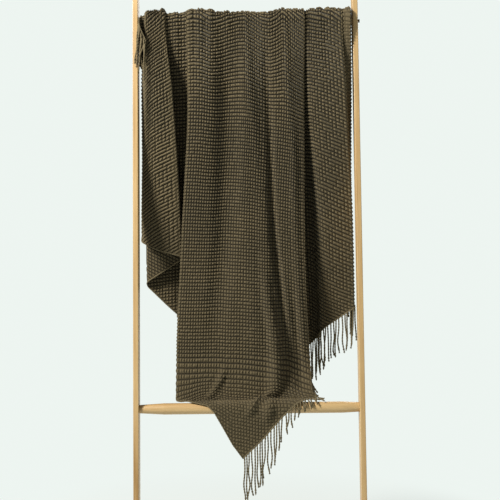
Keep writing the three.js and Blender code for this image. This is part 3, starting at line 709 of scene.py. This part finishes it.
def knit_material():
    made, tree, shader = new_material("knit")
    stitch = node(tree, "Attribute", attribute_name="stitch")
    parts = node(tree, "SeparateXYZ")
    plug(tree, parts.inputs[0], stitch.outputs["Vector"])
    off = []
    for axis in (0, 1):
        shifted = calc(tree, "ADD", parts.outputs[axis], 0.5)
        off.append(calc(tree, "ABSOLUTE", calc(tree, "SUBTRACT", calc(tree, "FRACT", shifted), 0.5)))
    across = calc(tree, "MULTIPLY", off[0], parts.outputs[2])
    relief_and_light = node(tree, "Attribute", attribute_name="relief_and_light").outputs["Fac"]
    # gap grows from a stitch's middle out to the gaps round it. It shapes the bump below, and the colour
    # ramp paints shade into the gaps with it, wider where the stitches stand out most.
    gap = calc(tree, "MULTIPLY", calc(tree, "MAXIMUM", across, off[1]), 2.0)
    gap = calc(tree, "MULTIPLY", gap, relief_and_light)
    place = node(tree, "TexCoord").outputs["Object"]
    fibres = noise(tree, place, 900, 3, 0.7)
    patches = noise(tree, place, 9, 3, 0.55)
    # Painted shade: from the yarn colour on the stitch tops, through half shade, to near black in the
    # gaps.
    color = ramp(tree, gap, [(0.0, YARN_LIGHT), (0.35, YARN_LIGHT), (0.65, YARN_HALF_SHADE),
                             (0.92, YARN_GAP_SHADE)])
    tone = ramp(tree, patches, [(0.3, (0.86, 0.86, 0.86)), (0.7, (1.08, 1.06, 1.04))])
    color = blend_colors(tree, "MULTIPLY", 1.0, color, tone)
    specks = ramp(tree, fibres, [(0.3, (0.8, 0.8, 0.8)), (0.7, (1.15, 1.15, 1.15))])
    color = blend_colors(tree, "MULTIPLY", 1.0, color, specks)
    # Painted light and shade: the knit is painted lighter where the stitches stand out most, near the
    # top rung, and darker low down and on the folds' outer edges.
    shade = ramp(tree, calc(tree, "SUBTRACT", relief_and_light, 0.4), [(0.0, (0.72,) * 3), (0.9, (1.16,) * 3)])
    plug(tree, shader.inputs["Base Color"], blend_colors(tree, "MULTIPLY", 1.0, color, shade))
    rounding = calc(tree, "SUBTRACT", 1.0, calc(tree, "POWER", gap, 3.0))
    rounded = calc(tree, "MULTIPLY", rounding, 0.7)
    height = calc(tree, "ADD", rounded, calc(tree, "MULTIPLY", fibres, 0.3))
    plug(tree, shader.inputs["Normal"], bump(tree, height, 0.0012))
    soft_yarn(shader)
    return made


def yarn_material():
    made, tree, shader = new_material("yarn")
    place = node(tree, "TexCoord").outputs["Object"]
    fibres = noise(tree, place, 1100, 3, 0.7)
    patches = noise(tree, place, 25, 2, 0.5)
    color = ramp(tree, patches, [(0.3, YARN_LIGHT), (0.7, YARN_PALE)])
    specks = ramp(tree, fibres, [(0.3, (0.8, 0.8, 0.8)), (0.7, (1.15, 1.15, 1.15))])
    plug(tree, shader.inputs["Base Color"], blend_colors(tree, "MULTIPLY", 1.0, color, specks))
    plug(tree, shader.inputs["Normal"], bump(tree, fibres, 0.0006))
    soft_yarn(shader)
    return made


WOOD_LIGHT = (0.58, 0.40, 0.185)
WOOD_MIDDLE = (0.51, 0.33, 0.142)
WOOD_GRAIN = (0.37, 0.215, 0.075)


def wood_material(name, turn, stretch):
    """Straight-grained softwood. turn lines the grain up with the piece, stretch draws it out."""
    made, tree, shader = new_material(name)
    place = node(tree, "TexCoord").outputs["Object"]
    along = node(tree, "Mapping")
    along.inputs["Rotation"].default_value = turn
    plug(tree, along.inputs["Vector"], place)
    long_way = node(tree, "Mapping")
    long_way.inputs["Scale"].default_value = stretch
    plug(tree, long_way.inputs["Vector"], along.outputs[0])
    bands = noise(tree, long_way.outputs[0], 55, 3, 0.6)
    lines = noise(tree, long_way.outputs[0], 420, 4, 0.7)
    color = ramp(tree, bands, [(0.32, WOOD_GRAIN), (0.45, WOOD_MIDDLE), (0.62, WOOD_LIGHT)])
    streaks = ramp(tree, lines, [(0.3, (0.86, 0.82, 0.76)), (0.6, (1.0, 1.0, 1.0))])
    plug(tree, shader.inputs["Base Color"], blend_colors(tree, "MULTIPLY", 1.0, color, streaks))
    plug(tree, shader.inputs["Roughness"], ramp(tree, lines, [(0.2, (0.52,) * 3), (0.8, (0.36,) * 3)]))
    plug(tree, shader.inputs["Normal"], bump(tree, lines, 0.0003, 0.6))
    shader.inputs["Coat Weight"].default_value = 0.15
    shader.inputs["Coat Roughness"].default_value = 0.3
    return made


STEEL_DARK = (0.02, 0.017, 0.015)
STEEL_RUBBED = (0.06, 0.05, 0.045)


def screw_material():
    made, tree, shader = new_material("dark_screw")
    place = node(tree, "TexCoord").outputs["Object"]
    rubbed = noise(tree, place, 400, 3, 0.6)
    color = ramp(tree, rubbed, [(0.35, STEEL_DARK), (0.75, STEEL_RUBBED)])
    plug(tree, shader.inputs["Base Color"], color)
    plug(tree, shader.inputs["Roughness"], ramp(tree, rubbed, [(0.2, (0.35,) * 3), (0.8, (0.6,) * 3)]))
    shader.inputs["Metallic"].default_value = 0.8
    return made


def wear(piece, material):
    piece.data.materials.clear()
    piece.data.materials.append(material)


throw = make_throw()
fringe_front = make_fringe("tassels_front", 0, 1)
fringe_back = make_fringe("tassels_back", SELVEDGE, -1)
edging = make_edging()

wear(throw, knit_material())
yarn = yarn_material()
for piece in (fringe_front, fringe_back, edging):
    wear(piece, yarn)
for piece, slot in ((throw, "knit"), (fringe_front, "yarn"), (fringe_back, "yarn"), (edging, "knit")):
    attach(piece, "root")
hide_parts("throw")
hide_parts("fringe_front")
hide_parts("fringe_back")

rail_wood = wood_material("rail_wood", (LEAN, 0, 0), (1, 1, 0.04))
rung_wood = wood_material("rung_wood", (0, 0, 0), (0.04, 1, 1))
for name, material in (("rail_left", rail_wood), ("rail_right", rail_wood), ("rung_top", rung_wood),
                       ("rung_low", rung_wood), ("screw", screw_material())):
    wear(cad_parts[name], material)

# The stage: a pale floor that fades into the background
BACKGROUND = (0.85, 0.91, 0.875)
AMBIENT = (0.17, 0.185, 0.185)
FLOOR_COLOR = (0.66, 0.69, 0.67, 1)
FLOOR_SIDES = 96
FLOOR_RINGS = 0.6, 1.2, 2.0, 3.5, 9.0
FLOOR_Z = -0.0005
FADE_FROM, FADE_OVER = 0.35, 0.6


def make_floor():
    mesh = bpy.data.meshes.new("floor")
    turn = np.arange(FLOOR_SIDES) * 2 * np.pi / FLOOR_SIDES
    points = [(0, 0, FLOOR_Z)]
    faces = []
    for r, radius in enumerate(FLOOR_RINGS):
        points += [(radius * np.cos(t), radius * np.sin(t), FLOOR_Z) for t in turn]
        for k in range(FLOOR_SIDES):
            after = (k + 1) % FLOOR_SIDES
            if r == 0:
                faces.append((0, 1 + k, 1 + after))
            else:
                inner, outer = 1 + (r - 1) * FLOOR_SIDES, 1 + r * FLOOR_SIDES
                faces.append((inner + k, outer + k, outer + after, inner + after))
    mesh.from_pydata(points, [], faces)
    made = bpy.data.objects.new("floor", mesh)
    bpy.context.scene.collection.objects.link(made)
    material, tree, shader = new_material("floor")
    place = node(tree, "TexCoord").outputs["Object"]
    far = node(tree, "VectorMath", operation="LENGTH")
    plug(tree, far.inputs[0], place)
    fade = calc(tree, "SUBTRACT", far.outputs["Value"], FADE_FROM)
    fade = calc(tree, "SMOOTH_MIN", calc(tree, "DIVIDE", fade, FADE_OVER), 1.0, 0.1)
    fade = calc(tree, "MAXIMUM", fade, 0.0)
    shader.inputs["Base Color"].default_value = FLOOR_COLOR
    shader.inputs["Roughness"].default_value = 0.85
    glow = node(tree, "Emission")
    glow.inputs["Color"].default_value = (*BACKGROUND, 1)
    mixed = node(tree, "MixShader")
    plug(tree, mixed.inputs[0], fade)
    plug(tree, mixed.inputs[1], shader.outputs[0])
    plug(tree, mixed.inputs[2], glow.outputs[0])
    plug(tree, tree.nodes["Material Output"].inputs["Surface"], mixed.outputs[0])
    mesh.materials.append(material)


def make_light(name, place, target, size, power, color=(1, 1, 1)):
    light = bpy.data.lights.new(name, "AREA")
    light.energy = power
    light.size = size
    light.color = color
    made = bpy.data.objects.new(name, light)
    made.location = place
    made.rotation_euler = (Vector(target) - Vector(place)).to_track_quat("-Z", "Y").to_euler()
    bpy.context.scene.collection.objects.link(made)


make_floor()
make_light("key", (-1.95, -1.15, 2.75), (0, 0, 1.1), 0.6, 150, (1.0, 0.98, 0.94))
make_light("back", (1.4, 2.6, 2.3), (0, 0, 1.0), 1.6, 60, (1.0, 0.98, 0.95))
world = bpy.data.worlds.new("studio")
world.use_nodes = True
sky = world.node_tree
seen = node(sky, "LightPath").outputs["Is Camera Ray"]
sky_color = blend_colors(sky, "MIX", seen, (*AMBIENT, 1), (*BACKGROUND, 1))
plug(sky, sky.nodes["Background"].inputs["Color"], sky_color)
bpy.context.scene.world = world
bpy.context.scene.view_settings.view_transform = "Standard"

# The camera stands where the photograph was taken from, looks down a little and rolls a little
CAMERA_LENS = 73.55
CAMERA_PLACE = (0.00295, -2.46333, 1.1783)
CAMERA_DOWN = 7
CAMERA_ROLL = -0.61
camera = bpy.data.cameras.new("camera")
camera.sensor_width = 36
camera.lens = CAMERA_LENS
viewer = bpy.data.objects.new("camera", camera)
viewer.location = CAMERA_PLACE
tilt = Matrix.Rotation(radians(90 - CAMERA_DOWN), 4, "X")
viewer.rotation_euler = (tilt @ Matrix.Rotation(radians(CAMERA_ROLL), 4, "Z")).to_euler()
bpy.context.scene.collection.objects.link(viewer)
bpy.context.scene.camera = viewer
